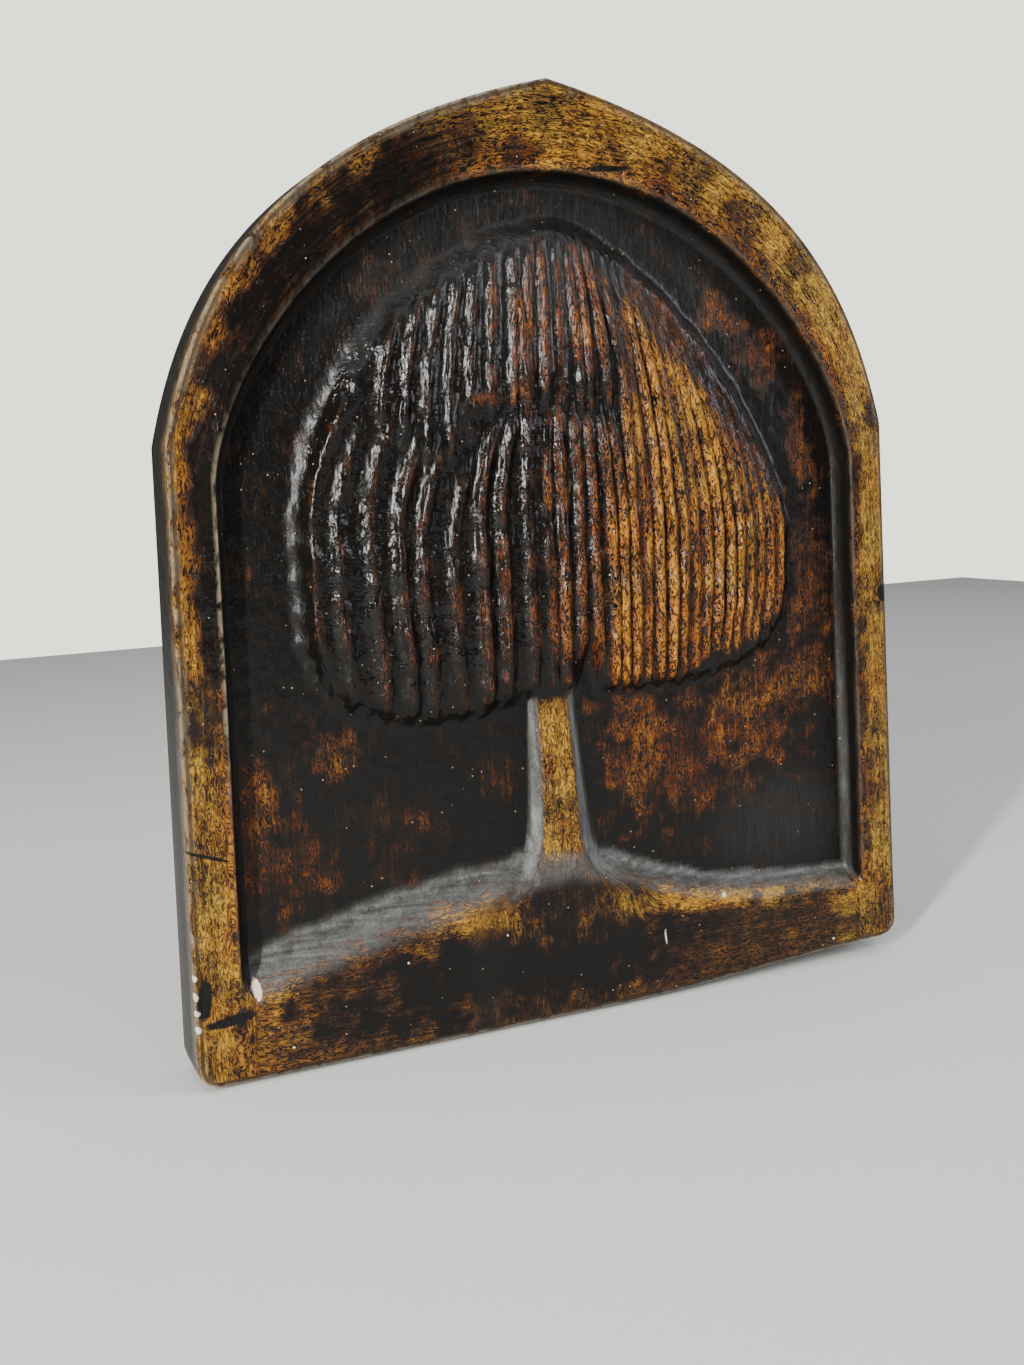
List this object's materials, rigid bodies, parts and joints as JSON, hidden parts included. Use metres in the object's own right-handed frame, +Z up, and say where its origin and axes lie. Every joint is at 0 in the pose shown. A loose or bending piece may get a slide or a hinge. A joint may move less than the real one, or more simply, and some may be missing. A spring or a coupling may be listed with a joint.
{
  "type": "decorative wall plaque",
  "caption": "Pointed-arch wall plaque cast in one piece, with a raised plain frame round a weeping willow in relief on a sunk ground, to hang flat on a wall.",
  "frame": {"origin": "on the flat back, on the upright middle line, 141 mm above the foot", "axes": "+X to the right seen from the front, +Y out of the back towards the wall, +Z up to the apex"},
  "size_m": [0.2432, 0.022, 0.2832],
  "materials": {
    "lacquered_plaster": "gloss"
  },
  "bodies": {
    "root": {"plaque": "lacquered_plaster"}
  },
  "joints": []
}
